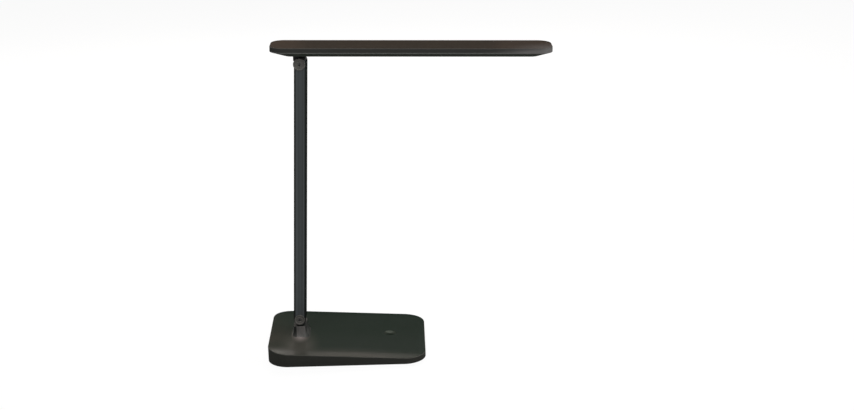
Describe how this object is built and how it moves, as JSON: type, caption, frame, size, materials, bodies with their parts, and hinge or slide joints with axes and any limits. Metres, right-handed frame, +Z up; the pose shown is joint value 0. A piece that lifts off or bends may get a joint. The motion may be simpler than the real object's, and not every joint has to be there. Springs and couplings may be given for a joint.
{
  "type": "folding desk lamp",
  "caption": "Folding LED desk lamp: flat rectangular head on a slim hinged arm, standing on a wedge-shaped base with a dished switch key.",
  "frame": {"origin": "on the table, under the middle of the base", "axes": "+Z up, +X from the arm towards the head's far end, -Y towards the front"},
  "size_m": [0.3005, 0.123, 0.3284],
  "materials": {
    "cover_plastic": "fine satin texture",
    "plate_steel": "black coating",
    "ballast_steel": "zinc plated",
    "pad_rubber": "matt",
    "screw_steel": "plated",
    "bracket_metal": "black coating",
    "board_green": "solder mask",
    "black_plastic": "moulded",
    "contact_brass": "plain",
    "inductor_grey": "ferrite",
    "capacitor_can": "plain can",
    "header_plastic": "moulded",
    "wire_insulation": "insulation",
    "cable_sheath": "sheath",
    "key_plastic": "satin",
    "arm_aluminium": "anodised black",
    "insert_aluminium": "die cast",
    "frame_plastic": "fine satin texture",
    "diffuser_opal": "opal, satin",
    "spreader_aluminium": "plain",
    "board_white": "white solder mask",
    "led_phosphor": "phosphor",
    "bolt_steel": "zinc plated",
    "washer_nylon": "plain",
    "cap_plastic": "satin"
  },
  "bodies": {
    "base": {"base_top_cover": "cover_plastic", "base_bottom_plate": "plate_steel", "nonslip_pad": "pad_rubber", "base_screws": "screw_steel", "ballast_plate": "ballast_steel", "base_hinge_bracket": "bracket_metal", "base_bracket_screws": "screw_steel", "control_board": "board_green", "power_jack": "black_plastic", "power_jack_pin": "contact_brass", "driver_chip": "black_plastic", "power_inductor": "inductor_grey", "filter_capacitor": "capacitor_can", "lamp_wire_header": "header_plastic", "switch_wire_header": "header_plastic", "base_wires": "wire_insulation", "switch_cable": "cable_sheath", "switch_board": "board_green", "switch_body": "black_plastic"},
    "key": {"switch_key": "key_plastic", "switch_plunger": "header_plastic"},
    "arm": {"arm_tube": "arm_aluminium", "lower_fork_insert": "insert_aluminium", "upper_fork_insert": "insert_aluminium", "fork_screws": "screw_steel", "arm_wires": "wire_insulation", "lower_hinge_bolt": "bolt_steel", "lower_hinge_nut": "bolt_steel", "lower_hinge_spring_washer": "bolt_steel", "lower_hinge_friction_washers": "washer_nylon", "lower_hinge_front_cap": "cap_plastic", "lower_hinge_rear_cap": "cap_plastic", "upper_hinge_bolt": "bolt_steel", "upper_hinge_nut": "bolt_steel", "upper_hinge_spring_washer": "bolt_steel", "upper_hinge_friction_washers": "washer_nylon", "upper_hinge_front_cap": "cap_plastic", "upper_hinge_rear_cap": "cap_plastic"},
    "head": {"head_bracket": "bracket_metal", "head_bracket_screws": "screw_steel", "head_top_cover": "cover_plastic", "head_lower_frame": "frame_plastic", "head_screws": "screw_steel", "diffuser": "diffuser_opal", "heat_spreader": "spreader_aluminium", "led_board": "board_white", "leds": "led_phosphor", "head_wires": "wire_insulation"}
  },
  "joints": [
    {"name": "arm_hinge", "type": "hinge", "parent": "base", "child": "arm", "pos_m": [-0.0501, 0, 0.0325], "axis": [0, 1, 0], "range_deg": [-32.7, 87.3]},
    {"name": "head_hinge", "type": "hinge", "parent": "arm", "child": "head", "pos_m": [-0.03805, 0, 0.30924], "axis": [0, 1, 0], "range_deg": [-88, 91]},
    {"name": "key_press", "type": "slide", "parent": "base", "child": "key", "axis": [0, 0, -1], "range_m": [0, 0.0004], "stiffness_N_per_m": 400, "springref_m": -0.0025}
  ]
}
